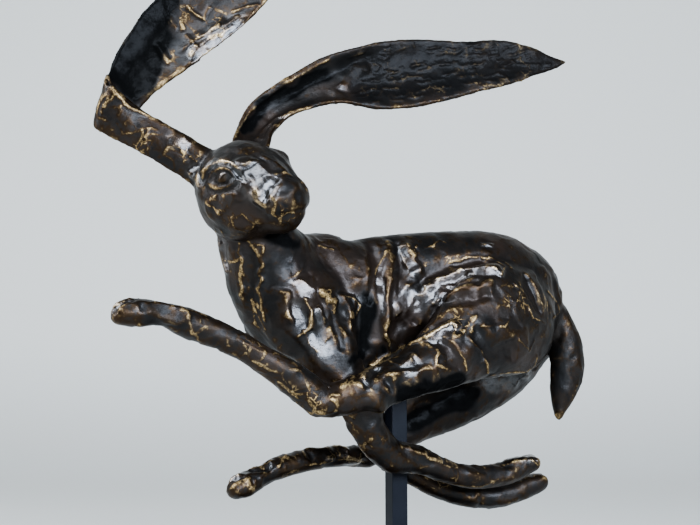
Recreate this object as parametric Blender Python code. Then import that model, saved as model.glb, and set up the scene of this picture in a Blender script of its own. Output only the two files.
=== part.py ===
"""A running hare, cast in bronze in one piece, held up by a square steel post on a steel base plate.

The hare runs towards -X and looks back over its left shoulder, towards -Y. The origin is the middle of
the base plate's underside, below the post. Sizes are in metres.
"""

import math

import bmesh
import bpy
import numpy as np
from mathutils import Euler, Matrix, Vector

# Driving dimensions
HARE_LENGTH = 0.384  # near ear's fold to tail, along X
BELLY_HEIGHT = 0.168  # from the base plate up to the lowest of the belly
POST_SIDE = 0.012
SOCKET_DEPTH = 0.028  # how far the post goes up from there into the belly
BASE_LENGTH = 0.200
BASE_WIDTH = 0.110
BASE_THICKNESS = 0.010
BASE_EDGE = 0.0012  # rounding of the base plate's edges
POST_EDGE = 0.0005  # rounding of the post's edges
EAR_THICKNESS = 0.0042
FIT_GAP = 0.0003  # left between pieces that touch

# The hare's pose is laid out on a grid with this many units to its length, from the middle of the post at
# the height of the belly
UNITS_TO_LENGTH = 384
UNIT = HARE_LENGTH / UNITS_TO_LENGTH
VOXEL = 1.15 * UNIT
SOLID_TRIANGLES = 9300

# Where the seams between the body and the limbs are smoothed, in units along X, Y and Z
BLEND_BOX = [(-125, 145), (-60, 60), (-25, 125)]
BLEND_FADE = 25
BLEND_STEPS = 60

RING_POINTS = 20
STEPS_PER_SPAN = 5
DOME_STEPS = 4
DOME_REACH = 0.7

# Limbs, as sections from end to end: x, y, z of the middle, then half height and half width
TORSO = [
    (-96, 0, 36, 28, 18),
    (-70, 0, 42, 53, 25),
    (-36, 0, 42, 51, 28),
    (0, 0, 51, 48, 24),
    (38, 0, 54, 50, 28),
    (78, 0, 54, 53, 33),
    (102, 0, 50, 49, 31),
    (115, 0, 45, 44, 26),
    (125, 0, 40, 35, 18),
]
NECK = [
    (-122, -16, 112, 24, 22),
    (-110, -10, 84, 28, 25),
    (-94, -3, 60, 36, 28),
    (-72, 0, 42, 44, 27),
    (-50, 0, 40, 46, 26),
]
NEAR_HIND_LEG = [
    (122, -8, 40, 32, 13),
    (102, -18, 40, 39, 19),
    (66, -29, 35, 42, 22),
    (28, -36, 14, 28, 19),
    (-10, -42, -5, 17, 15),
    (-42, -45, -16, 13.5, 12),
    (-65, -46, -22, 12, 11),
    (-78, -46, -24, 11, 11),
]
NEAR_HIND_FOOT = [
    (-78, -46, -25, 11, 11),
    (-94, -47, -13, 11.3, 11),
    (-116, -47, 0, 9.5, 9.5),
    (-143, -47, 14, 8.8, 8.5),
    (-168, -47, 23, 9.8, 9),
    (-188, -47, 29, 7.8, 8),
    (-203, -47, 29, 9.5, 9.5),
    (-214, -47, 28, 7, 8),
]
FAR_HIND_LEG = [
    (126, 8, 42, 32, 13),
    (118, 20, 32, 35, 18),
    (101, 29, 8, 33, 21),
    (74, 34, -16, 25, 18),
    (39, 37, -35, 18, 15),
    (14, 38, -51, 13, 12),
    (-4, 38, -62, 9, 10),
]
FAR_HIND_FOOT = [
    (-4, 38, -63, 9, 9),
    (-25, 34, -63, 7.5, 8),
    (-50, 28, -64, 7.6, 8),
    (-75, 22, -68, 8.6, 8.5),
    (-94, 17, -74, 7.5, 8),
    (-110, 13, -80, 9, 9),
    (-118, 11, -84, 7, 8),
]
NEAR_FORELEG = [
    (-74, -12, 42, 26, 14),
    (-62, -22, 14, 24, 14),
    (-50, -25, -10, 16, 12),
    (-35, -24, -40, 12.5, 11),
    (-16, -20.5, -60, 12, 10),
    (5, -18, -63, 10.6, 9.5),
    (28, -16, -71, 8, 9),
    (54, -14, -77, 8.8, 9),
    (80, -12, -76, 9, 9.5),
    (97, -12, -71, 8.3, 9),
    (108, -12, -68, 7, 8),
]
FAR_FORELEG = [
    (-70, 12, 42, 26, 14),
    (-50, 20, 12, 22, 14),
    (-28, 22, -12, 15, 12),
    (-9, 21, -44, 12, 10.5),
    (7, 19.5, -66, 9.5, 9.5),
    (20, 17, -76, 7.5, 9),
    (42, 14, -86, 8, 9),
    (67, 12, -92, 9, 9),
    (92, 10, -93, 9, 9.5),
    (118, 8, -86, 8.4, 9),
    (129, 8, -83, 7, 8),
]
TAIL = [
    (112, 0, 62, 12, 12),
    (128, 0, 56, 11, 12),
    (142, 0, 42, 11, 11),
    (150, 0, 20, 13.5, 11),
    (150, 0, 2, 15, 10),
    (146, 0, -15, 11.5, 8),
    (142, 0, -29, 5, 5),
    (141, 0, -36, 1.6, 2.4),
]

# The head, in its own axes: x forward, y to its left, z up
HEAD_AT = (-124, -28, 116)
HEAD_HEADING = -70  # degrees from +X, about Z
HEAD_PITCH = -8
HEAD_ROLL = 20  # right side down
SKULL = [
    (-38, 0, 4, 14, 13),
    (-28, 0, 3, 26, 24),
    (-13, 0, 0, 34, 31),
    (3, 0, -2, 34, 31),
    (16, 0, -4, 30, 27),
    (25, 0, -6, 25, 22),
    (32, 0, -8, 21, 19),
    (37, 0, -9, 17, 16),
]

# Masses that swell out of the limbs: x, y, z of the middle, then half length, half width and half height
SHOULDERS = [
    (-80, -16, 38, 32, 18, 34),
    (-63, -22, 10, 24, 14, 28),
    (-80, 16, 38, 32, 18, 34),
    (-58, 21, 10, 24, 14, 28),
]
HEAD_MASSES = [
    (5, 19, 13, 15, 10, 12),
    (5, -19, 13, 15, 10, 12),
    (2, 15, -13, 23, 15, 18),
    (2, -15, -13, 23, 15, 18),
    (33, 8, -6, 13, 11, 15),
    (33, -8, -6, 13, 11, 15),
    (30, 0, -21, 13, 11, 8),
]

# Hollows and ridges worked over the body: x and z along the stroke, its radius, then its lift. Those of the near
# side face -Y, and those of the far side are the same but for the folds that the turned neck makes.
NEAR_STROKES = [
    ([(-59, 71), (-50, 55), (-43, 38), (-40, 18), (-43, 1)], 11, -2.6),
    ([(-118, 68), (-114, 50), (-107, 31), (-97, 13)], 10, -1.8),
    ([(-27, 89), (-23, 68), (-24, 47), (-28, 22)], 8, -2.4),
    ([(-9, 92), (-5, 80), (-6, 68)], 7, -1.6),
    ([(59, 80), (42, 76), (17, 68), (3, 54), (-6, 38), (-12, 26)], 9, -2.2),
    ([(2, 38), (25, 54), (56, 68)], 14, 2.4),
    ([(-60, 49), (-74, 42), (-90, 39)], 6, -1.6),
    ([(-92, 56), (-86, 44), (-76, 28)], 12, 1.2),
    ([(127, 66), (129, 50), (128, 28), (120, 8)], 7, -1.8),
]
FAR_STROKES = [
    ([(-50, 77), (-42, 59), (-33, 41), (-27, 21), (-27, 4)], 9, -3.0),
    ([(-116, 70), (-112, 52), (-105, 33), (-94, 14)], 10, -1.6),
    ([(-14, 92), (-10, 74), (-10, 52), (-14, 30)], 8, -2.0),
    ([(92, 84), (70, 72), (48, 50), (30, 28), (18, 6)], 10, -2.6),
    ([(60, 30), (84, 44), (104, 58)], 15, 2.0),
]

# Strokes on the head, in its own axes: x, y, z along the stroke, radius, lift. Each is also made on its left.
HEAD_STROKES = [
    ([(-10, -31, 12), (-4, -33, 4), (6, -32, 3), (16, -28, 6)], 6, -1.8),
    ([(-8, -30, 19), (4, -32, 23), (16, -26, 19)], 5, 1.6),
    ([(3, -31, 12), (7, -31, 12)], 6, 1.4),
    ([(50, 0, -15), (42, -13, -16), (30, -22, -17), (20, -26, -16)], 4.5, -1.6),
    ([(50, 0, 3), (50, 0, -13)], 3.5, -1.6),
    ([(47, -7, 2), (45, -10, 1)], 4, -1.6),
    ([(22, -8, 26), (36, -9, 12)], 7, -1.6),
]

# The grooves between the toes, as x, y, z from tip to root, radius, lift
TOE_STROKES = [
    ([(-222, -50, 30), (-200, -50, 38)], 3, -1.6),
    ([(-222, -44, 30), (-200, -44, 38)], 3, -1.6),
    ([(-124, 9, -82), (-104, 12, -70)], 3, -1.6),
    ([(-124, 15, -82), (-104, 18, -70)], 3, -1.6),
    ([(114, -15, -66), (92, -15, -62)], 3, -1.6),
    ([(114, -9, -66), (92, -9, -62)], 3, -1.6),
    ([(136, 5, -80), (112, 5, -76)], 3, -1.6),
    ([(136, 11, -80), (112, 11, -76)], 3, -1.6),
]

# The ears, as sections: x, y, z of the spine, width, then in degrees the curl and the heading and lift of the
# way that the hollow faces
FAR_EAR = [
    (-121, -14, 128, 20, 130, -115, 0),
    (-117, -7, 141, 24, 140, -115, 0),
    (-111, 2, 153, 25, 150, -115, 0),
    (-105, 11, 165, 25, 150, -115, 0),
    (-98, 15, 177, 26, 150, -115, 0),
    (-88, 14, 188, 25, 145, -115, 0),
    (-72, 10, 198, 28, 125, -115, 0),
    (-48, 3, 209, 38, 95, -115, 0),
    (-18, -1, 214, 51, 70, -115, 0),
    (2, -4, 218, 54, 55, -115, 0),
    (30, -8, 224, 50, 45, -115, 0),
    (58, -11, 230, 42, 40, -115, 0),
    (86, -14, 237, 38, 35, -115, 0),
    (111, -16, 241, 25, 30, -115, 0),
    (129, -18, 242, 13, 20, -115, 0),
    (143, -21, 244, 2, 10, -115, 0),
]
NEAR_EAR = [
    (-138, -22, 122, 26, 90, 65, 0),
    (-150, -17, 130, 26, 90, 65, 0),
    (-160, -13, 136, 26, 80, 65, 0),
    (-175, -10, 145, 26, 70, 65, 0),
    (-193, -4, 155, 26, 60, 65, 0),
    (-209, -1, 164, 29, 45, 55, 0),
    (-217, 3, 170, 31, 30, 10, -14),
    (-216, 10, 173, 32, 25, -30, -18),
    (-207, 16, 179, 31, 30, -80, -12),
    (-197, 18, 189, 33, 50, -105, -3),
    (-190, 18, 199, 39, 65, -115, 0),
    (-179, 17, 213, 46, 70, -115, 0),
    (-160, 12, 236, 55, 55, -115, 0),
    (-131, 3, 262, 52, 45, -115, 0),
    (-102, -5, 288, 34, 35, -115, 0),
    (-86, -10, 302, 14, 20, -115, 0),
    (-78, -13, 309, 2, 10, -115, 0),
]


def between(rows, steps):
    """Rows of numbers on a smooth curve through the given rows, with that many steps to each span."""
    rows = np.array(rows, float)
    padded = np.vstack([2 * rows[0] - rows[1], rows, 2 * rows[-1] - rows[-2]])
    found = []
    for before, start, end, after in zip(padded, padded[1:], padded[2:], padded[3:]):
        for t in np.linspace(0, 1, steps, endpoint=False):
            found.append(
                0.5
                * (
                    2 * start
                    + (end - before) * t
                    + (2 * before - 5 * start + 4 * end - after) * t**2
                    + (3 * start - before - 3 * end + after) * t**3
                )
            )
    found.append(rows[-1])
    return np.array(found)


def along(points):
    """Unit tangents of a line of points."""
    tangents = np.gradient(points, axis=0)
    return tangents / np.linalg.norm(tangents, axis=1)[:, None]


def skin_rings(mesh, rings):
    """Closes rings of points, each with as many, into one tube with flat ends."""
    made = [[mesh.verts.new(p) for p in ring] for ring in rings]
    count = len(made[0])
    for ring, after in zip(made, made[1:]):
        for i in range(count):
            j = (i + 1) % count
            mesh.faces.new((ring[i], ring[j], after[j], after[i]))
    mesh.faces.new(made[0][::-1])
    mesh.faces.new(made[-1])


def limb(mesh, sections, place=Matrix.Identity(4)):
    """A round-ended limb through the sections, its width along the place's own Y."""
    rows = between(sections, STEPS_PER_SPAN)
    middles, tall, wide = rows[:, :3], rows[:, 3], rows[:, 4]
    tangents = along(middles)
    rings = []

    def ring(middle, tangent, half_height, half_width):
        side = np.array((0.0, 1.0, 0.0)) - tangent * tangent[1]
        side /= np.linalg.norm(side)
        up = np.cross(tangent, side)
        points = []
        for k in range(RING_POINTS):
            turn = 2 * math.pi * k / RING_POINTS
            point = (
                middle
                + side * half_width * math.cos(turn)
                + up * half_height * math.sin(turn)
            )
            points.append(place @ Vector(point))
        rings.append(points)

    def dome(end, direction, steps):
        reach = DOME_REACH * min(tall[end], wide[end])
        for k in steps:
            lift = k / (DOME_STEPS + 0.25) * math.pi / 2
            ring(
                middles[end] + tangents[end] * direction * reach * math.sin(lift),
                tangents[end],
                tall[end] * math.cos(lift),
                wide[end] * math.cos(lift),
            )

    dome(0, -1, range(DOME_STEPS, 0, -1))
    for row in zip(middles, tangents, tall, wide):
        ring(*row)
    dome(-1, 1, range(1, DOME_STEPS + 1))
    skin_rings(mesh, rings)


def mass(mesh, middle_and_sizes, place=Matrix.Identity(4)):
    """An ellipsoid."""
    x, y, z, *sizes = middle_and_sizes
    shape = place @ Matrix.Translation((x, y, z)) @ Matrix.Diagonal((*sizes, 1))
    bmesh.ops.create_uvsphere(mesh, u_segments=24, v_segments=16, radius=1, matrix=shape)


def ear(mesh, sections, thickness):
    """A long leaf of one thickness, hollow towards the heading that each section gives."""
    rows = between(sections, STEPS_PER_SPAN)
    middles = rows[:, :3]
    width, curl, heading, lift = rows[:, 3], rows[:, 4], np.radians(rows[:, 5]), np.radians(rows[:, 6])
    facings = np.stack([np.cos(heading) * np.cos(lift), np.sin(heading) * np.cos(lift), np.sin(lift)], 1)
    tangents = along(middles)
    across = 10
    rings = []
    for middle, tangent, w, c, facing in zip(middles, tangents, width, curl, facings):
        facing -= tangent * (facing @ tangent)
        facing /= np.linalg.norm(facing)
        side = np.cross(tangent, facing)
        half_turn = math.radians(max(c, 4)) / 2
        radius = max(w, 1) / 2 / math.sin(min(half_turn, math.pi / 2))
        inner, outer = [], []
        for k in range(across + 1):
            turn = half_turn * (2 * k / across - 1)
            share = 1 - 0.2 * abs(2 * k / across - 1) ** 3
            for points, reach in ((inner, -0.5), (outer, 0.5)):
                r = radius + reach * thickness * share
                points.append(
                    Vector(
                        middle
                        + side * r * math.sin(turn)
                        + facing * (radius - r * math.cos(turn))
                    )
                )
        rings.append(outer + inner[::-1])
    skin_rings(mesh, rings)


def bronze(name, colour, roughness, metallic):
    material = bpy.data.materials.new(name)
    material.use_nodes = True
    shader = material.node_tree.nodes["Principled BSDF"]
    shader.inputs["Base Color"].default_value = (*colour, 1)
    shader.inputs["Roughness"].default_value = roughness
    shader.inputs["Metallic"].default_value = metallic
    return material


def add_object(name, mesh, material):
    mesh.materials.append(material)
    made = bpy.data.objects.new(name, mesh)
    bpy.context.scene.collection.objects.link(made)
    return made


def evaluated(made):
    """The object's mesh after its modifiers."""
    graph = bpy.context.evaluated_depsgraph_get()
    return bpy.data.meshes.new_from_object(made.evaluated_get(graph))


def head_place():
    turn = Euler(
        (math.radians(HEAD_ROLL), math.radians(-HEAD_PITCH), math.radians(HEAD_HEADING)),
        "XYZ",
    )
    return Matrix.Translation(HEAD_AT) @ turn.to_matrix().to_4x4()


def hare_clay():
    """The hare as overlapping closed shapes, in units."""
    mesh = bmesh.new()
    for sections in (
        TORSO,
        NECK,
        NEAR_HIND_LEG,
        NEAR_HIND_FOOT,
        FAR_HIND_LEG,
        FAR_HIND_FOOT,
        NEAR_FORELEG,
        FAR_FORELEG,
        TAIL,
    ):
        limb(mesh, sections)
    limb(mesh, SKULL, head_place())
    for sizes in SHOULDERS:
        mass(mesh, sizes)
    for sizes in HEAD_MASSES:
        mass(mesh, sizes, head_place())
    for sections in (FAR_EAR, NEAR_EAR):
        ear(mesh, sections, EAR_THICKNESS / UNIT)
    bmesh.ops.recalc_face_normals(mesh, faces=mesh.faces)
    bmesh.ops.scale(mesh, vec=(UNIT, UNIT, UNIT), verts=mesh.verts)
    clay = bpy.data.meshes.new("hare_clay")
    mesh.to_mesh(clay)
    mesh.free()
    return clay


def keep_outer_skin(shape):
    """Drops every shell of the mesh but the one with the most vertices."""
    mesh = bmesh.new()
    mesh.from_mesh(shape)
    waiting = set(mesh.verts)
    largest = set()
    while waiting:
        shell = {waiting.pop()}
        edge = list(shell)
        while edge:
            reached = {e.other_vert(v) for v in edge for e in v.link_edges} - shell
            shell |= reached
            edge = list(reached)
        waiting -= shell
        largest = max(largest, shell, key=len)
    bmesh.ops.delete(mesh, geom=[v for v in mesh.verts if v not in largest], context="VERTS")
    mesh.to_mesh(shape)
    mesh.free()


def blend(made):
    """Smooths the seams between the body and the roots of the limbs, and lets the rest be."""
    spots = np.empty(len(made.data.vertices) * 3)
    made.data.vertices.foreach_get("co", spots)
    spots = spots.reshape(-1, 3) / UNIT
    share = np.ones(len(spots))
    for axis, (start, end) in enumerate(BLEND_BOX):
        inside = np.minimum(spots[:, axis] - start, end - spots[:, axis])
        share = np.minimum(share, np.clip(inside / BLEND_FADE, 0, 1))
    group = made.vertex_groups.new(name="body")
    for weight in range(1, 11):
        members = np.flatnonzero(np.round(share * 10) == weight)
        group.add(members.tolist(), weight / 10, "REPLACE")
    blending = made.modifiers.new("blend", "SMOOTH")
    blending.factor = 0.5
    blending.iterations = BLEND_STEPS
    blending.vertex_group = group.name


def nearness(spots, stroke, radius):
    """How near each spot is to a line of points: 1 on it, 0 from the radius on, smooth between."""
    stroke = np.array(stroke, float)
    least = np.full(len(spots), np.inf)
    for start, end in zip(stroke, stroke[1:]):
        span = end - start
        share = np.clip((spots - start) @ span / (span @ span), 0, 1)
        least = np.minimum(least, np.linalg.norm(spots - start - share[:, None] * span, axis=1))
    near = np.clip(1 - least / radius, 0, 1)
    return near * near * (3 - 2 * near)


def carve(made):
    """Works the strokes into the surface."""
    count = len(made.data.vertices)
    spots, normals = np.empty(count * 3), np.empty(count * 3)
    made.data.vertices.foreach_get("co", spots)
    made.data.vertices.foreach_get("normal", normals)
    spots, normals = spots.reshape(-1, 3) / UNIT, normals.reshape(-1, 3)
    lift = np.zeros(count)
    for strokes, facing in ((NEAR_STROKES, -normals[:, 1]), (FAR_STROKES, normals[:, 1])):
        outside = np.clip(facing * 3, 0, 1)
        for stroke, radius, height in strokes:
            lift += height * outside * nearness(spots[:, (0, 2)], stroke, radius)
    to_head = np.array(head_place().inverted())
    in_head = spots @ to_head[:3, :3].T + to_head[:3, 3]
    for mirror in (1, -1):
        for stroke, radius, height in HEAD_STROKES:
            middle = mirror == -1 and all(point[1] == 0 for point in stroke)
            if not middle:
                lift += height * nearness(in_head * (1, mirror, 1), stroke, radius)
    for stroke, radius, height in TOE_STROKES:
        lift += height * nearness(spots, stroke, radius)
    spots += normals * lift[:, None]
    made.data.vertices.foreach_set("co", (spots * UNIT).ravel())
    made.data.update()


def bake(made):
    """Makes the shape after the modifiers the object's own."""
    bpy.context.view_layer.update()
    shape = evaluated(made)
    made.modifiers.clear()
    made.data = shape


def square_bar(name, side, start, end, edge, material):
    """A square bar upright on the Z axis, its edges rounded."""
    mesh = bmesh.new()
    bmesh.ops.create_cube(mesh, size=1)
    bmesh.ops.scale(mesh, vec=(side, side, end - start), verts=mesh.verts)
    bmesh.ops.translate(mesh, vec=(0, 0, (start + end) / 2), verts=mesh.verts)
    shape = bpy.data.meshes.new(name)
    mesh.to_mesh(shape)
    mesh.free()
    made = add_object(name, shape, material)
    if edge:
        rounding = made.modifiers.new("edges", "BEVEL")
        rounding.width = edge
        rounding.segments = 2
    return made


def hare(material):
    made = add_object("hare", hare_clay(), material)
    made.location.z = BASE_THICKNESS + BELLY_HEIGHT
    fuse = made.modifiers.new("fuse", "REMESH")
    fuse.mode = "VOXEL"
    fuse.voxel_size = VOXEL
    soften = made.modifiers.new("soften", "SMOOTH")
    soften.factor = 0.5
    soften.iterations = 10
    bake(made)
    keep_outer_skin(made.data)
    blend(made)
    bake(made)
    carve(made)
    made.data.shade_smooth()
    made.data.calc_loop_triangles()
    thin = made.modifiers.new("thin", "DECIMATE")
    thin.ratio = SOLID_TRIANGLES / len(made.data.loop_triangles)
    bake(made)
    top = BASE_THICKNESS + BELLY_HEIGHT + SOCKET_DEPTH
    cutter = square_bar("socket_cutter", POST_SIDE + 2 * FIT_GAP, top - 2 * SOCKET_DEPTH, top, 0, material)
    cutter.hide_render = True
    cutter.display_type = "WIRE"
    socket = made.modifiers.new("socket", "BOOLEAN")
    socket.operation = "DIFFERENCE"
    socket.solver = "EXACT"
    socket.object = cutter
    return made


def base_plate(material):
    """The low steel plate under the post."""
    mesh = bmesh.new()
    bmesh.ops.create_cube(mesh, size=1)
    bmesh.ops.scale(mesh, vec=(BASE_LENGTH, BASE_WIDTH, BASE_THICKNESS), verts=mesh.verts)
    bmesh.ops.translate(mesh, vec=(0, 0, BASE_THICKNESS / 2), verts=mesh.verts)
    shape = bpy.data.meshes.new("base_plate")
    mesh.to_mesh(shape)
    mesh.free()
    made = add_object("base_plate", shape, material)
    rounding = made.modifiers.new("edges", "BEVEL")
    rounding.width = BASE_EDGE
    rounding.segments = 2
    return made


def main():
    for old in list(bpy.data.objects):
        bpy.data.objects.remove(old)
    dark_bronze = bronze("dark_bronze", (0.06, 0.045, 0.035), 0.35, 0.9)
    black_steel = bronze("black_steel", (0.012, 0.013, 0.017), 0.35, 0.0)
    hare(dark_bronze)
    post_top = BASE_THICKNESS + BELLY_HEIGHT + SOCKET_DEPTH - FIT_GAP
    square_bar("post", POST_SIDE, BASE_THICKNESS + FIT_GAP, post_top, POST_EDGE, black_steel)
    base_plate(black_steel)


main()
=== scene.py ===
"""The looks of the running hare: the chased surface of its bronze, the patina, the paint of the post and
plate, the light and the camera.

The hare is worked in millimetres, and written back to its mesh in metres. Lines on it are drawn in the
picture's pixels, counted from its top left corner, and lie where the camera sees them on the surface.
"""

import math
import random

import bmesh
import bpy
import numpy as np
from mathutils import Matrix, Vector, noise
from mathutils.bvhtree import BVHTree


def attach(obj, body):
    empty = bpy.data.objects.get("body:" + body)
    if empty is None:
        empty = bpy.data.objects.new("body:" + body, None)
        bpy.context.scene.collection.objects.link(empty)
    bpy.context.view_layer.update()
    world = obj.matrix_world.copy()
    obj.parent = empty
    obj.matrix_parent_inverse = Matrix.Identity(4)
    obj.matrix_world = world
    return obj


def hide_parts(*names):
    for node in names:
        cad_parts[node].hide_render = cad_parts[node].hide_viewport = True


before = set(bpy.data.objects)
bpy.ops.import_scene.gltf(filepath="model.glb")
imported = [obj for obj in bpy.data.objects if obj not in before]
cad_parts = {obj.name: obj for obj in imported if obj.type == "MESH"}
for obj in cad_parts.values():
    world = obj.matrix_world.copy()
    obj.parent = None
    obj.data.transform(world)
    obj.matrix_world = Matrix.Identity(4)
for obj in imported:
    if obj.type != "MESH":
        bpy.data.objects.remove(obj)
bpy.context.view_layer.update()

# Vector noise takes its offsets from the clock unless it is given a seed
NOISE_SEED = 1796123903
noise.seed_set(NOISE_SEED)

# The camera stands below the hare's belly and looks up at it, from before its near side
PHOTO_WIDTH, PHOTO_HEIGHT = 700, 525
LENS = 57
SENSOR = 36
CAMERA_AZIMUTH = math.radians(-25)
CAMERA_ELEVATION = math.radians(-8)
CAMERA_TARGET = np.array([-29.9, 13.9, 256.0])
CAMERA_DISTANCE = 812.5

BACK = np.array(
    [
        math.sin(CAMERA_AZIMUTH) * math.cos(CAMERA_ELEVATION),
        -math.cos(CAMERA_AZIMUTH) * math.cos(CAMERA_ELEVATION),
        math.sin(CAMERA_ELEVATION),
    ]
)
RIGHT = np.array([math.cos(CAMERA_AZIMUTH), math.sin(CAMERA_AZIMUTH), 0.0])
UP = np.cross(BACK, RIGHT)
EYE = CAMERA_TARGET + BACK * CAMERA_DISTANCE
FOCAL = LENS / SENSOR * PHOTO_WIDTH

# Size of the faces that the hare is worked in, the rounds of smoothing after they are made, and how many
# triangles are left in the end
VOXEL = 1.05
SOFTENING = 12
TRIANGLES = 196000
# Pixels between two spots of a line
STEP = 2.5
# How far the edge of a stroke strays from its line, and over what length it does so
RAGGED = 0.9
RAGGED_SIZE = 5.0
# How much further the edge of a pressed or painted band strays
LOOSE = 5.0
LOOSE_SIZE = 13.0
# How flat a band is pressed, from 0 to 1, how deep, and how much wider it is polished
PRESSED = 0.8
PRESSED_DEPTH = 1.6
POLISHED_WIDTH = 1.25
# Directions that a plane can mirror: to the camera's right, up and toward the camera
WINDOW = (0.62, 0.2, 0.76)
FACE_LIGHT = (0.35, 0.25, 0.9)
SKY = (-0.15, 0.6, 0.78)
ROOM = (-0.3, -0.5, 0.8)
# Paints before any stroke: how much of the web of fine lines shows and how matte the patina is, and the
# highest that the second paint gets, where it turns the bronze black as painted shade
WEB_START = 0.25
DULL_START = 0.8
DULL_AND_SHADE_MOST = 1.6
# The ears stand above the first height. The blade of the far ear is above the second, and beyond that place
# along X.
EARS_ABOVE = 350
BLADE_ABOVE = 340
BLADE_BEYOND = -70


def ray(u, v):
    """The way that the camera looks at a point of the picture, counted in its pixels."""
    way = -BACK + RIGHT * (u - PHOTO_WIDTH / 2) / FOCAL - UP * (v - PHOTO_HEIGHT / 2) / FOCAL
    return way / np.linalg.norm(way)


def waves(spots, size, seed):
    """Smooth noise from -1 to 1, with lumps of about that size in millimetres."""
    offset = Vector((seed * 17.3, seed * 5.1, seed * 9.7))
    return np.array([noise.noise(Vector(s) + offset) for s in spots / size])


def wander(spots, size):
    """Smooth noise as a way to move, each part of it from -1 to 1."""
    return np.array([noise.noise_vector(Vector(s)) for s in spots / size])


def cells(spots, size, warp, seed):
    """Cuts space into cells of about that size. Gives how far each spot is from the border between two
    cells, and the height there of a plane that is tilted its own way in each cell, in millimetres."""
    borders = np.empty(len(spots))
    planes = np.empty(len(spots))
    shift = Vector((seed * 3.7, seed * 11.9, seed * 7.3))
    half = Vector((0.5, 0.5, 0.5))
    for k, spot in enumerate(spots / size):
        place = Vector(spot) + shift
        bend = noise.noise_vector(place * 1.3) * warp
        bend += noise.noise_vector(place * 4.1) * warp * 0.25
        place += bend
        _, centres = noise.voronoi(place)
        across = centres[1] - centres[0]
        borders[k] = ((centres[0] + centres[1]) / 2 - place).dot(across.normalized()) * size
        tilt = noise.cell_vector(centres[0] * 37.1) - half
        planes[k] = (place - centres[0]).dot(tilt) * 2 * size
    return borders, planes


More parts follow.
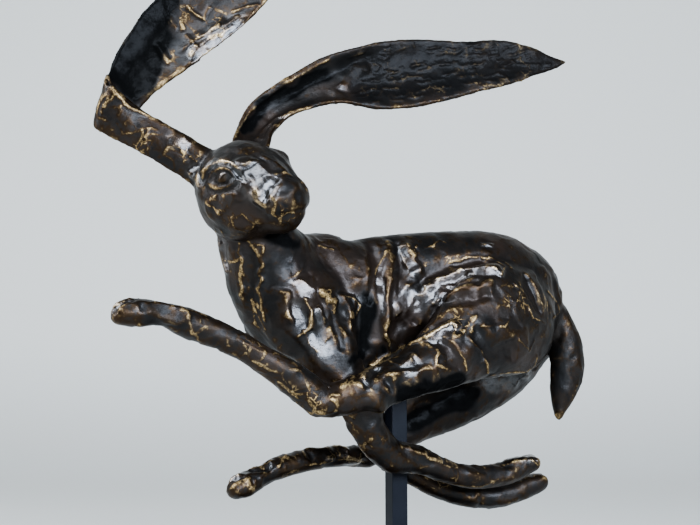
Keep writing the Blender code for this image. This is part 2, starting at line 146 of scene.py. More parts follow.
class Clay:
    """A mesh that is worked with strokes. Spots are its vertices, in millimetres, and lift is how far the
    strokes have moved them since they were last written. Three paints lie on the spots: gold for the rubbed
    lines, web for the finer lines between them, and a third for how matte the patina is, which at its
    highest paints the bronze black as painted shade."""

    def __init__(self, source):
        mesh = bmesh.new()
        mesh.from_mesh(source.data)
        bmesh.ops.remove_doubles(mesh, verts=mesh.verts, dist=1e-6)
        shape = bpy.data.meshes.new("hare_bronze")
        mesh.to_mesh(shape)
        mesh.free()
        self.piece = bpy.data.objects.new("hare_bronze", shape)
        bpy.context.scene.collection.objects.link(self.piece)
        self.remesh()
        data = self.piece.data
        count = len(data.vertices)
        ends = np.empty(len(data.edges) * 2, int)
        data.edges.foreach_get("vertices", ends)
        self.ends = ends.reshape(-1, 2)
        self.links = np.maximum(np.bincount(ends, minlength=count), 1)
        self.faces = [tuple(p.vertices) for p in data.polygons]
        self.read()
        self.small_stray = wander(self.spots, RAGGED_SIZE) * RAGGED
        self.wide_stray = wander(self.spots, LOOSE_SIZE) * LOOSE
        self.gold = np.zeros(count)
        self.web = np.full(count, WEB_START)
        self.dull_and_shade = np.full(count, DULL_START)

    def bake(self):
        """Takes what the modifiers make as the mesh."""
        bpy.context.view_layer.update()
        graph = bpy.context.evaluated_depsgraph_get()
        shape = bpy.data.meshes.new_from_object(self.piece.evaluated_get(graph))
        self.piece.modifiers.clear()
        self.piece.data = shape
        self.piece.data.name = "hare_bronze"
        self.piece.data.shade_smooth()

    def remesh(self):
        fuse = self.piece.modifiers.new("fuse", "REMESH")
        fuse.mode = "VOXEL"
        fuse.voxel_size = VOXEL / 1000
        soften = self.piece.modifiers.new("soften", "SMOOTH")
        soften.factor = 0.5
        soften.iterations = SOFTENING
        self.bake()

    def thin_out(self, triangles):
        """Brings the mesh down to about that many triangles."""
        data = self.piece.data
        data.calc_loop_triangles()
        if len(data.loop_triangles) > triangles:
            fewer = self.piece.modifiers.new("fewer", "DECIMATE")
            fewer.ratio = triangles / len(data.loop_triangles)
            self.bake()

    def read(self):
        data = self.piece.data
        count = len(data.vertices)
        spots, normals = np.empty(count * 3), np.empty(count * 3)
        data.vertices.foreach_get("co", spots)
        data.vertices.foreach_get("normal", normals)
        self.spots = spots.reshape(-1, 3) * 1000
        self.normals = normals.reshape(-1, 3)
        self.lift = np.zeros(count)
        self.tree = BVHTree.FromPolygons([tuple(s) for s in self.spots], self.faces)

    def write(self):
        """Moves the spots by what the strokes since the last call ask for."""
        self.spots += self.normals * self.lift[:, None]
        self.piece.data.vertices.foreach_set("co", (self.spots / 1000).ravel())
        self.piece.data.update()
        self.read()

    def averaged(self, values, rounds):
        """Values at the spots, averaged with their neighbours."""
        values = np.array(values, float)
        a, b = self.ends[:, 0], self.ends[:, 1]
        columns = values.reshape(len(values), -1)
        for _ in range(rounds):
            sums = np.empty_like(columns)
            for k in range(columns.shape[1]):
                sums[:, k] = np.bincount(a, columns[b, k], len(values))
                sums[:, k] += np.bincount(b, columns[a, k], len(values))
            columns = 0.5 * columns + 0.5 * sums / self.links[:, None]
        return columns.reshape(values.shape)

    def raised(self, rounds):
        """How far each spot stands out from the surface, averaged over so many rounds."""
        return np.einsum("ij,ij->i", self.spots - self.averaged(self.spots, rounds), self.normals)

    def hidden(self):
        """From 0 where the surface faces the camera to 1 where it is turned away."""
        return np.clip((self.normals @ -BACK) * 3 + 0.3, 0, 1)

    def seen(self, points):
        """Where a line drawn in the picture falls on the surface, as spots with their normals."""
        points = np.array(points, float)
        found = []
        for start, end in zip(points, points[1:]):
            steps = max(1, int(np.linalg.norm(end - start) / STEP))
            for t in np.arange(steps) / steps:
                found.append(start + (end - start) * t)
        found.append(points[-1])
        hits = []
        for u, v in found:
            spot, normal, _, _ = self.tree.ray_cast(Vector(EYE), Vector(ray(u, v)))
            if spot is not None:
                hits.append((*spot, *normal))
        return np.array(hits).reshape(-1, 6)

    def near(self, hits, radius, loose=False):
        """The spots near a line, how far each is, and the nearest place on the line."""
        if len(hits) == 0:
            return np.empty(0, int), np.empty(0), np.empty((0, 3))
        line = hits[:, :3]
        low, high = line.min(0) - radius, line.max(0) + radius
        chosen = np.flatnonzero(np.all((self.spots > low) & (self.spots < high), axis=1))
        spots = self.spots[chosen] + self.small_stray[chosen]
        if loose:
            spots = spots + self.wide_stray[chosen]
        feet = np.repeat(line[:1], len(chosen), axis=0)
        least = np.linalg.norm(spots - feet, axis=1)
        for start, end in zip(line, line[1:]):
            way = end - start
            length = way @ way
            if length > 0:
                share = np.clip((spots - start) @ way / length, 0, 1)
                foot = start + share[:, None] * way
                away = np.linalg.norm(spots - foot, axis=1)
                closer = away < least
                least[closer] = away[closer]
                feet[closer] = foot[closer]
        kept = least < radius
        return chosen[kept], least[kept], feet[kept]

    def around(self, points, radius, slope, loose=False):
        """The spots near a line drawn in the picture, and a share for each: 1 near the line, and down to 0
        at the radius, the steeper the larger the slope."""
        chosen, away, _ = self.near(self.seen(points), radius, loose)
        return chosen, np.clip((1 - away / radius) * slope, 0, 1)

    def facet(self, points, radius, light, most=PRESSED_DEPTH, loose=True):
        """Presses a band flat along a line drawn in the picture, so that it mirrors what stands that way: to
        the camera's right, up and toward the camera. The band is polished, unless it mirrors the room."""
        hits = self.seen(points)
        if len(hits) == 0:
            return
        view = EYE - hits[:, :3].mean(0)
        view /= np.linalg.norm(view)
        way = RIGHT * light[0] + UP * light[1] + BACK * light[2]
        aim = view + way / np.linalg.norm(way)
        aim /= np.linalg.norm(aim)
        normal = hits[:, 3:].mean(0) * (1 - PRESSED) + aim * PRESSED
        normal /= np.linalg.norm(normal)
        chosen, away, feet = self.near(hits, radius, loose)
        slope = self.normals[chosen] @ normal
        share = np.clip((1 - away / radius) * 3, 0, 1) * np.clip(slope * 3 - 0.6, 0, 1)
        lift = -np.einsum("ij,j->i", self.spots[chosen] - feet, normal) / np.clip(slope, 0.5, 1)
        self.lift[chosen] += np.clip(lift, -most, most) * share
        if light != ROOM:
            self.polish(points, radius * POLISHED_WIDTH, loose)

    def polish(self, points, radius, loose=True):
        """Makes the patina bright near a line drawn in the picture."""
        chosen, away, _ = self.near(self.seen(points), radius, loose)
        self.dull_and_shade[chosen] *= np.clip(away / radius * 1.7 - 0.7, 0, 1)

    def stroke(self, points, radius, height, sharp=1.0, gilt=0.0):
        """A ridge, or a groove where the height is below zero, along a line drawn in the picture."""
        hits = self.seen(points)
        if len(hits) == 0:
            return
        chosen, away, _ = self.near(hits, radius)
        share = 1 - away / radius
        share = (share * share * (3 - 2 * share)) ** sharp
        facing = hits[:, 3:].mean(0)
        share = share * np.clip(self.normals[chosen] @ facing * 2 + 0.6, 0, 1)
        self.lift[chosen] += height * share
        self.gold[chosen] = np.maximum(self.gold[chosen], gilt * share)


clay = Clay(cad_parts["hare"])

# Broad forms: the line in the picture's pixels, then the radius and height in millimetres
FORMS = [
    # brow, cheek and face plane
    ([(203, 172), (213, 162), (226, 158), (238, 162)], 7, 1.2),
    ([(222, 203), (238, 210), (256, 205)], 10, 0.8),
    # neck, and the line from it to the back
    ([(292, 238), (300, 242), (310, 242)], 14, 3.0),
    ([(233, 248), (238, 270), (242, 296)], 6, 1.0),
    ([(250, 246), (250, 280), (252, 318)], 6, -1.0),
    ([(259, 246), (262, 280), (264, 318)], 6, 1.2),
    # shoulder
    ([(284, 285), (281, 305), (290, 332)], 9, 1.4),
    ([(300, 283), (318, 288), (330, 300)], 8, 1.2),
    ([(306, 296), (314, 313), (310, 330), (298, 338)], 6, 1.2),
    ([(290, 314), (297, 318)], 9, -1.5),
    ([(342, 300), (350, 315), (347, 332)], 8, 1.2),
    ([(330, 306), (336, 325), (342, 346)], 5, -1.6),
    ([(317, 282), (318, 294), (324, 307), (329, 323)], 4, -1.0),
    ([(306, 345), (320, 365), (335, 378)], 9, 1.2),
    # the deep hollow behind the shoulder and the folds of the flank
    ([(366, 295), (368, 320), (364, 345)], 12, -3.0),
    ([(388, 243), (391, 266), (386, 297), (386, 335)], 5, 1.8),
    ([(398, 245), (402, 270), (400, 296)], 5, -1.6),
    ([(407, 246), (414, 262), (420, 273)], 6, 1.4),
    ([(372, 250), (374, 275), (372, 300)], 6, -1.2),
    ([(366, 258), (369, 275), (367, 292)], 4, 0.9),
    ([(400, 246), (409, 248), (413, 256)], 3, 0.9),
    ([(419, 268), (410, 274), (416, 280), (408, 285)], 3, 1.0),
    ([(396, 318), (402, 330), (400, 342)], 6, -0.9),
    ([(392, 352), (410, 342), (430, 330), (448, 318)], 5, -1.4),
    # thigh and shank
    ([(397, 306), (406, 292), (428, 292), (446, 279), (470, 270), (497, 268)], 9, 1.8),
    ([(428, 318), (442, 300), (462, 288), (490, 283)], 6, 1.0),
    ([(450, 289), (462, 283), (477, 281)], 3.5, -1.2),
    ([(371, 366), (401, 347), (428, 336), (450, 323), (456, 324)], 5, 1.6),
    ([(440, 345), (452, 338), (462, 345)], 7, -1.0),
    ([(438, 352), (436, 364), (447, 369)], 5, 0.9),
    ([(470, 340), (481, 351), (487, 364), (488, 373)], 5, 0.8),
    ([(505, 345), (520, 352)], 10, -0.8),
    ([(552, 275), (556, 296), (560, 316), (558, 340)], 6, -1.0),
    ([(535, 358), (526, 371), (505, 375), (489, 377)], 5, 0.8),
    # joints of the legs, and the paws
    ([(376, 403), (380, 412), (386, 424)], 11, 3.4),
    ([(378, 404), (381, 410)], 7, 1.4),
    ([(345, 425), (358, 440), (368, 456)], 5, 0.9),
    ([(392, 440), (410, 456), (432, 464)], 4, -0.8),
    ([(398, 446), (420, 452), (440, 461)], 4, 0.8),
    ([(516, 461), (530, 458), (538, 462)], 6, 1.3),
    ([(498, 464), (508, 465)], 6, -0.9),
    ([(470, 474), (492, 482), (512, 478)], 5, 0.9),
    ([(537, 476), (548, 479), (550, 484)], 5, 0.9),
    ([(470, 500), (490, 505), (515, 500)], 5, 0.8),
    ([(312, 400), (322, 408)], 9, 1.3),
    ([(334, 400), (338, 404)], 7, 1.1),
    ([(350, 385), (360, 383)], 10, 1.3),
    ([(345, 459), (355, 460)], 7, 1.0),
    ([(188, 310), (191, 323), (192, 332)], 7, 1.0),
    ([(160, 306), (163, 318), (165, 328)], 9, -0.7),
    ([(270, 452), (275, 460), (278, 467)], 7, 0.8),
    # near ear: rims, and the lumps inside
    ([(107, 74), (115, 93), (128, 107), (147, 115), (173, 131), (184, 137)], 3, 0.8),
    ([(136, 101), (180, 72), (222, 44), (262, 16)], 3, 0.7),
    ([(176, 138), (188, 142), (198, 150)], 9, 1.4),
    ([(183, 50), (193, 38), (207, 33), (220, 22)], 6, 1.0),
    ([(125, 75), (135, 55), (150, 30)], 12, -0.8),
    # far ear: the channel at its root, the ridge beside it and the rims
    ([(296, 92), (320, 78), (345, 66), (368, 58)], 8, -1.6),
    ([(336, 92), (349, 79), (363, 68)], 8, 1.6),
    ([(258, 138), (266, 128), (278, 118), (300, 110), (330, 107)], 3.5, 1.0),
    ([(240, 128), (250, 111), (275, 91), (297, 77), (328, 60)], 3, 0.7),
]
for points, radius, height in FORMS:
    clay.stroke(points, radius, height)
clay.write()

# Planes pressed flat: the line, the radius and what they mirror
FACETS = [
    # face
    ([(215, 208), (250, 215)], 13, ROOM),
    ([(198, 172), (200, 186)], 5, SKY),
    # neck and shoulder
    ([(222, 246), (224, 262)], 8, SKY),
    ([(276, 300), (280, 322)], 9, ROOM),
    ([(294, 308), (303, 322)], 7, WINDOW),
    ([(298, 284), (311, 290)], 6, WINDOW),
    ([(317, 310), (322, 320)], 5, WINDOW),
    ([(312, 340), (324, 350)], 6.5, WINDOW),
    ([(345, 305), (350, 325)], 9, ROOM),
    # flank
    ([(382, 268), (383, 290), (382, 310)], 3.5, WINDOW),
    ([(404, 250), (410, 262), (416, 270)], 5, WINDOW),
    ([(480, 247), (490, 248)], 3, WINDOW),
    # slab of the thigh
    ([(400, 308), (408, 296)], 9, WINDOW),
    ([(418, 300), (434, 296)], 9, WINDOW),
    ([(434, 286), (446, 280)], 7, WINDOW),
    ([(446, 280), (460, 274)], 6, WINDOW),
    ([(456, 274), (476, 268), (496, 270)], 8, WINDOW),
    ([(440, 302), (462, 294), (486, 290)], 9, ROOM),
    ([(418, 318), (430, 308)], 8, ROOM),
    # thigh
    ([(452, 345), (462, 360)], 11, ROOM),
    ([(488, 340), (515, 345)], 16, ROOM),
    ([(530, 280), (538, 300)], 12, ROOM),
    ([(430, 340), (448, 328)], 6, WINDOW),
    ([(408, 368), (414, 360)], 7, WINDOW),
    ([(395, 385), (430, 378)], 9, ROOM),
    ([(364, 378), (378, 368)], 7, WINDOW),
    # feet
    ([(112, 306), (124, 301)], 6, WINDOW),
    ([(148, 306), (180, 314)], 7, SKY),
    ([(232, 478), (268, 464)], 5, SKY),
    ([(312, 452), (343, 450)], 6, SKY),
    # ears
    ([(200, 52), (232, 26)], 10, WINDOW),
    ([(342, 88), (345, 78), (357, 69)], 4, WINDOW),
    ([(170, 138), (184, 146)], 4.5, WINDOW),
]
for points, radius, light in FACETS:
    clay.facet(points, radius, light)
clay.facet([(248, 170), (262, 186)], 13, FACE_LIGHT, loose=False)
clay.facet([(270, 180), (262, 197)], 8, FACE_LIGHT, most=0.9, loose=False)
clay.lift = clay.averaged(clay.lift, 2)
clay.write()

# The clay was put on in dabs and pressed flat with a knife. It shows less on the ears, where the patina is
# bright and on the sides that the picture doesn't show. Sizes, widths and heights are in millimetres, and
# tilts are shares.
KNIFE_SIZE, KNIFE_TILT = 17, 0.045
RIM_WIDTH, RIM_HEIGHT = 2.4, 0.3
PATCH_SIZE, PATCH_TILT = 7.5, 0.018
SWELL_SIZE, SWELL_HEIGHT = 26, 0.5
LUMP_SIZE, LUMP_HEIGHT = 11, 0.25
DAB_SIZE, DAB_HEIGHT = 4.2, 0.16

on_ears = np.clip((clay.spots[:, 2] - EARS_ABOVE) / 10, 0, 1)
fine = 1 - 0.6 * clay.hidden()
rough = 0.35 + 0.8 * clay.dull_and_shade
borders, planes = cells(clay.spots, KNIFE_SIZE, warp=0.45, seed=3)
rims = np.clip(1 - borders / RIM_WIDTH, 0, 1) * np.clip(waves(clay.spots, 20, seed=5) * 4 - 0.2, 0, 1)
clay.lift += planes * KNIFE_TILT * (1 - 0.6 * on_ears) * rough + rims * RIM_HEIGHT
_, planes = cells(clay.spots, PATCH_SIZE, warp=0.5, seed=4)
clay.lift += planes * PATCH_TILT * fine * rough
swell = waves(clay.spots, SWELL_SIZE, seed=1) * SWELL_HEIGHT
lumps = waves(clay.spots, LUMP_SIZE, seed=2) * LUMP_HEIGHT * (1 - 0.7 * on_ears)
clay.lift += swell + lumps
clay.lift = clay.averaged(clay.lift, 3)
clay.write()
dabs = np.clip(waves(clay.spots, DAB_SIZE, seed=3), -0.1, 1) * DAB_HEIGHT
where = np.clip(waves(clay.spots, 30, seed=6) * 3 + 0.5, 0.1, 1)
clay.lift += dabs * fine * (0.25 + clay.dull_and_shade) * where
clay.write()

# The near eye and the ridge of the face: the line, radius and height
EYE_LINES = [
    ([(208, 179), (220, 176), (236, 177)], 7, -1.6),
    ([(262, 157), (276, 163), (286, 171), (281, 183), (272, 196), (266, 205)], 3.5, 0.9),
    ([(244, 164), (254, 160), (264, 163)], 2.5, 0.6),
    ([(250, 178), (256, 184), (252, 192)], 3.5, 0.5),
    ([(203, 183), (206, 172), (215, 165), (226, 165), (235, 171), (243, 179)], 2.6, -1.3),
    ([(206, 180), (212, 172), (220, 168), (229, 170), (236, 177)], 1.7, 1.0),
    ([(207, 184), (216, 188), (226, 187), (235, 182), (243, 179)], 1.8, 1.0),
    ([(210, 191), (219, 193), (229, 191), (238, 185)], 2.0, -0.7),
    (
        [(211, 181), (214, 175), (220, 171.5), (227, 173), (230, 178), (226, 183), (219, 184), (212, 182)],
        1.3,
        -1.2,
    ),
]
for points, radius, height in EYE_LINES:
    clay.stroke(points, radius, height)
EYEBALL = [(220.5, 177.5), (221, 177.5)]
clay.stroke(EYEBALL, 4.4, 1.7, sharp=0.6)
clay.write()

# Gilt lines that stand up from the surface, the wide ones brighter: the line, radius and height
GILT = [
    # neck and chest
    ([(239, 243), (238, 252), (242, 259), (241, 268), (240, 279), (243, 289), (240, 294)], 1.9, 0.8),
    ([(226, 261), (233, 262), (241, 259)], 1.6, 0.6),
    ([(248, 240), (257, 252), (260, 259), (263, 265), (258, 273), (262, 280)], 2.2, 0.9),
    ([(262, 280), (258, 289), (261, 299), (262, 310), (265, 320)], 2.2, 0.9),
    ([(250, 246), (255, 243), (262, 246), (262, 252)], 1.6, 0.6),
    ([(252, 300), (256, 312), (266, 330)], 1.5, 0.5),
    # head
    ([(201, 173), (211, 164), (221, 161), (232, 162), (239, 171)], 1.8, 0.5),
    ([(206, 203), (213, 207), (219, 214)], 1.8, 0.7),
    ([(272, 196), (276, 204), (273, 214), (279, 218)], 2.2, 0.7),
    ([(280, 205), (283, 212), (280, 220)], 1.6, 0.5),
    ([(275, 174), (284, 172), (290, 175)], 2.2, 0.6),
    # shoulder
    ([(305, 299), (312, 313), (310, 329), (298, 336)], 1.8, 0.7),
    ([(321, 292), (329, 299), (341, 304)], 4.2, 1.1),
    ([(345, 296), (356, 300), (360, 306), (356, 316)], 1.7, 0.7),
    ([(319, 246), (326, 248), (333, 250)], 1.6, 0.6),
    ([(285, 280), (296, 275), (303, 268)], 1.4, 0.5),
    ([(303, 330), (310, 345), (318, 352)], 1.5, 0.5),
    # flank
    ([(375, 275), (378, 265), (384, 258), (386, 250)], 1.5, 0.6),
    ([(386, 335), (389, 342), (390, 352)], 2.0, 0.6),
    ([(414, 250), (417, 245)], 2.0, 0.5),
    ([(425, 248), (433, 246), (440, 240), (446, 243)], 1.4, 0.5),
    # thigh and rump
    ([(450, 262), (470, 257), (490, 258), (505, 262), (512, 268)], 1.8, 0.6),
    ([(498, 262), (505, 267), (501, 274), (494, 268)], 2.0, 0.6),
    ([(471, 340), (480, 350), (487, 364), (488, 373)], 1.6, 0.7),
    ([(528, 306), (533, 318), (545, 323)], 1.7, 0.7),
    ([(548, 292), (557, 303), (559, 312), (553, 318)], 2.2, 0.8),
    ([(519, 340), (529, 350), (534, 341)], 1.7, 0.7),
    ([(537, 358), (534, 366), (526, 372), (505, 373), (490, 375)], 1.5, 0.6),
    ([(482, 326), (497, 326), (505, 327), (510, 318)], 1.5, 0.6),
    ([(450, 321), (456, 327), (453, 338), (462, 334), (468, 325), (476, 316)], 2.4, 0.8),
    ([(438, 353), (436, 364), (447, 369)], 2.0, 0.6),
    ([(460, 352), (465, 361), (467, 370)], 1.4, 0.5),
    ([(514, 283), (520, 290), (518, 300), (527, 306)], 1.5, 0.6),
    ([(371, 366), (401, 347), (428, 336), (450, 323)], 1.7, 0.5),
    ([(372, 366), (388, 361), (400, 365)], 1.5, 0.5),
    ([(440, 385), (452, 381), (464, 378)], 1.4, 0.5),
    # near ear
    # Painted highlight: the gold along the fold's left edge stands in for the white light that this edge
    # catches
    ([(106, 81), (98, 91), (93, 102), (92, 112), (92, 122)], 2.6, 0.3),
    ([(105, 95), (98, 107), (97, 117), (105, 120)], 1.9, 0.5),
    ([(108, 97), (102, 113)], 2.0, 0.5),
    ([(117, 123), (123, 133), (133, 133), (147, 128), (157, 130)], 1.6, 0.5),
    ([(148, 130), (145, 142), (148, 150), (150, 160)], 1.5, 0.5),
    ([(133, 153), (142, 145), (147, 143)], 1.4, 0.5),
    ([(168, 147), (165, 155), (173, 160), (175, 168)], 2.2, 0.5),
    ([(178, 147), (188, 155), (195, 161)], 1.6, 0.5),
    ([(107, 74), (115, 93), (128, 107), (147, 115)], 1.4, 0.4),
    # far ear
    ([(371, 81), (382, 77), (393, 72)], 1.6, 0.7),
    ([(400, 80), (405, 79), (408, 75)], 1.7, 0.7),
    ([(383, 88), (398, 89)], 1.5, 0.6),
    ([(410, 66), (426, 65)], 1.4, 0.6),
    ([(433, 66), (446, 64), (458, 62)], 1.5, 0.6),
    ([(462, 67), (475, 64)], 1.6, 0.6),
    ([(488, 57), (498, 55)], 1.6, 0.6),
    ([(502, 66), (515, 63)], 1.3, 0.5),
    ([(517, 65), (530, 64), (542, 65)], 1.3, 0.5),
    ([(498, 73), (505, 77), (510, 82)], 1.5, 0.5),
    ([(410, 93), (425, 90)], 1.4, 0.5),
    ([(445, 75), (457, 72)], 1.3, 0.5),
    ([(375, 63), (380, 66), (377, 70)], 1.6, 0.6),
    ([(412, 40), (414, 46)], 1.8, 0.5),
    ([(240, 128), (250, 111), (275, 91), (297, 77), (328, 60)], 1.3, 0.3),
    # legs
    ([(182, 310), (192, 311), (205, 315)], 1.6, 0.5),
    ([(188, 313), (191, 325), (193, 333)], 2.2, 0.6),
    ([(243, 343), (250, 346), (258, 351)], 2.0, 0.5),
    ([(254, 361), (264, 367), (280, 373)], 2.0, 0.5),
    ([(274, 353), (286, 358), (296, 365)], 2.2, 0.5),
    ([(278, 382), (288, 389), (298, 398)], 1.8, 0.5),
    ([(309, 401), (316, 412), (326, 414), (336, 410)], 3.2, 0.6),
    ([(321, 380), (329, 386)], 2.8, 0.4),
    ([(343, 386), (352, 383), (361, 384)], 3.6, 0.5),
    ([(365, 370), (380, 362), (398, 357)], 1.8, 0.5),
    ([(333, 400), (338, 406)], 2.6, 0.4),
    ([(274, 453), (286, 455), (278, 467)], 1.8, 0.6),
    ([(349, 459), (359, 461)], 3.0, 0.4),
    ([(306, 465), (320, 464), (333, 461)], 1.5, 0.4),
    ([(108, 312), (116, 306), (124, 302)], 1.8, 0.4),
    ([(230, 489), (240, 481), (250, 478)], 2.0, 0.4),
    ([(409, 472), (432, 479), (458, 485), (480, 487), (492, 482)], 1.5, 0.5),
    ([(502, 466), (515, 461), (530, 459), (537, 465)], 1.6, 0.5),
]
for points, radius, height in GILT:
    clay.stroke(points, radius, height, gilt=min(1.0, 0.25 + 0.35 * radius))
# Fainter ones: the line, radius, height and strength of the gold
FAINT = [
    ([(231, 219), (242, 214), (255, 225), (248, 233), (235, 229), (231, 219)], 1.3, 0.4, 0.35),
    ([(214, 227), (219, 228), (224, 236), (219, 239), (214, 227)], 1.3, 0.4, 0.35),
    ([(158, 46), (163, 54), (168, 63)], 4.0, 1.3, 0.5),
    ([(170, 20), (175, 28)], 3.6, 1.0, 0.45),
    ([(180, 22), (183, 29)], 2.4, 0.7, 0.4),
    ([(188, 8), (197, 15), (204, 19), (209, 8)], 2.8, 1.1, 0.5),
    ([(185, 48), (195, 40), (207, 34), (219, 24)], 2.6, 0.8, 0.45),
    ([(233, 12), (246, 7), (258, 5)], 2.2, 0.7, 0.4),
    ([(220, 36), (232, 26)], 2.0, 0.6, 0.3),
    ([(186, 36), (196, 46)], 3.0, 0.8, 0.5),
    ([(402, 442), (414, 450), (428, 458), (442, 462)], 2.0, 0.4, 0.25),
]
for points, radius, height, gilt in FAINT:
    clay.stroke(points, radius, height, gilt=gilt)

# Short dashes along the blade of the far ear, which start within these pixels across and down
DASHES = 150
DASH_HEIGHT = 0.45
ACROSS_BLADE = (350, 548)
DOWN_BLADE = (44, 104)
dashes = random.Random(4)
for _ in range(DASHES):
    u = dashes.uniform(*ACROSS_BLADE)
    v = dashes.uniform(*DOWN_BLADE)
    reach = dashes.uniform(4, 15)
    rise = reach * dashes.uniform(-0.35, 0.05)
    points = [(u, v), (u + reach / 2, v + rise / 2 + 0.8), (u + reach, v + rise)]
    clay.stroke(points, dashes.uniform(1.1, 1.6), DASH_HEIGHT, gilt=dashes.uniform(0.1, 0.9))
clay.write()

# Less gold on the blade, on the strip of the near ear and on the near hind foot. The list says the line, the
# radius and the share that stays.
blade = (clay.spots[:, 2] > BLADE_ABOVE) & (clay.spots[:, 0] > BLADE_BEYOND)
clay.gold[blade] *= 0.6
FADED = [
    ([(100, 105), (150, 138), (195, 162)], 24, 0.6),
    ([(180, 315), (250, 350), (300, 385)], 16, 0.75),
]
for points, radius, kept in FADED:
    chosen, _, _ = clay.near(clay.seen(points), radius)
    clay.gold[chosen] *= kept

# Where the finer web of worn lines shows: the line, radius and strength
WEB = [
    ([(232, 245), (240, 290)], 8, 0.7),
    ([(256, 245), (262, 320)], 9, 1.0),
    ([(280, 200), (290, 215)], 10, 0.8),
    ([(215, 205), (240, 225)], 12, 0.6),
    ([(335, 297), (356, 320)], 14, 0.9),
    ([(320, 247), (350, 262)], 12, 0.6),
    ([(415, 245), (445, 245)], 12, 0.8),
    ([(430, 270), (500, 258)], 10, 0.8),
    ([(440, 320), (475, 330)], 14, 1.0),
    ([(500, 290), (545, 310)], 18, 0.7),
    ([(370, 366), (450, 335)], 14, 0.8),
    ([(400, 385), (450, 370)], 14, 0.7),
    ([(345, 385), (375, 385)], 16, 0.8),
    ([(310, 400), (340, 410)], 16, 1.0),
    ([(190, 320), (300, 385)], 14, 0.9),
    ([(120, 305), (180, 318)], 12, 0.4),
    ([(270, 462), (365, 458)], 12, 0.9),
    ([(225, 490), (270, 475)], 10, 0.5),
    ([(350, 425), (400, 465)], 12, 0.6),
    ([(420, 460), (535, 465)], 12, 0.7),
    ([(420, 482), (545, 482)], 10, 0.7),
    ([(100, 110), (140, 135)], 14, 0.8),
    ([(150, 140), (190, 160)], 16, 0.8),
    ([(160, 60), (180, 10)], 14, 1.0),
    ([(195, 40), (240, 10)], 14, 1.0),
    ([(380, 75), (545, 60)], 24, 0.9),
    ([(250, 110), (330, 75)], 10, 0.3),
    ([(560, 350), (562, 400)], 12, 0.3),
    ([(470, 355), (530, 355)], 18, 0.1),
]
for points, radius, strength in WEB:
    chosen, share = clay.around(points, radius, 2)
    clay.web[chosen] += (strength - clay.web[chosen]) * share

# Where the patina is bright: the line and radius
POLISHED = [
    ([(203, 164), (222, 158), (238, 162)], 4),
    ([(218, 177), (224, 177)], 3),
    ([(350, 299), (358, 304)], 5),
    ([(450, 322), (456, 328)], 5),
    ([(100, 84), (93, 102), (93, 122)], 3),
    ([(262, 137), (277, 120), (297, 112), (330, 108)], 3),
    ([(350, 459), (360, 460)], 8),
    ([(455, 462), (480, 466)], 5),
    ([(515, 460), (537, 459)], 6),
    ([(560, 345), (566, 375)], 5),
    ([(482, 388), (505, 384), (528, 376)], 9),
    ([(400, 306), (412, 295), (440, 290), (460, 276), (495, 270)], 9),
]
for points, radius in POLISHED:
    clay.polish(points, radius)

# Painted shade: where the bronze is painted black and takes little light, in the hollows, the undersides
# and the side of the muzzle that lie in shade, and more mildly on the far ear's blade, the rump and the
# legs. The list says the line, the radius and how high the dullness paint is raised
SHADED = [
    ([(122, 72), (136, 48), (154, 18), (164, 2)], 17, 1.6),
    ([(132, 90), (150, 66), (160, 40)], 14, 1.6),
    ([(136, 98), (152, 84)], 8, 1.5),
    ([(244, 130), (258, 108), (280, 95), (305, 84), (325, 76)], 8, 1.6),
    ([(366, 300), (368, 320), (364, 345)], 8, 1.6),
    ([(270, 236), (285, 240), (296, 246)], 8, 1.6),
    ([(291, 186), (288, 206)], 8, 1.15),
    ([(404, 396), (430, 388), (460, 382)], 12, 1.6),
    ([(408, 424), (440, 410), (470, 396)], 13, 1.6),
    ([(352, 362), (366, 352), (384, 346)], 5, 1.6),
    ([(350, 66), (420, 56), (490, 54), (550, 62)], 22, 1.35),
    ([(360, 88), (420, 86), (490, 72), (550, 64)], 20, 1.35),
    ([(540, 290), (552, 330), (548, 350)], 8, 1.2),
    ([(556, 350), (562, 400)], 10, 1.25),
    ([(420, 462), (530, 472)], 9, 1.05),
    ([(430, 484), (540, 486)], 9, 1.1),
    ([(150, 308), (190, 322), (250, 352), (300, 385)], 9, 1.1),
]
for points, radius, depth in SHADED:
    chosen, share = clay.around(points, radius, 1.6, loose=True)
    share *= clay.dull_and_shade[chosen] < depth
    clay.dull_and_shade[chosen] += (depth - clay.dull_and_shade[chosen]) * share

# No gold in the socket of the eye
SOCKET_RADIUS = 9
socket, share = clay.around([(214, 180), (230, 180)], SOCKET_RADIUS, 3)
clay.gold[socket] = -0.8 * share
clay.web[socket] = 0

# The same kind of lines on the sides that the picture doesn't show
VEIN_CELLS, VEIN_WIDTH, VEIN_HEIGHT = 15, 1.6, 0.6
HIDDEN_DULL, HIDDEN_WEB = 0.45, 0.5
hidden = clay.hidden()
presence = np.clip((waves(clay.spots, 26, seed=7) - 0.05 - 0.1 * on_ears) * 5, 0, 1) * hidden
borders, _ = cells(clay.spots, VEIN_CELLS, warp=0.5, seed=1)
veins = np.clip(1 - borders / VEIN_WIDTH, 0, 1) * presence
clay.lift += veins * VEIN_HEIGHT
clay.gold = np.maximum(clay.gold, np.clip(veins * 1.3, 0, 1))
clay.dull_and_shade += (HIDDEN_DULL - clay.dull_and_shade) * hidden
patches = np.clip(waves(clay.spots, 35, seed=8) * 2 + 0.5, 0, 1)
clay.web += (HIDDEN_WEB - clay.web) * patches * hidden
clay.write()

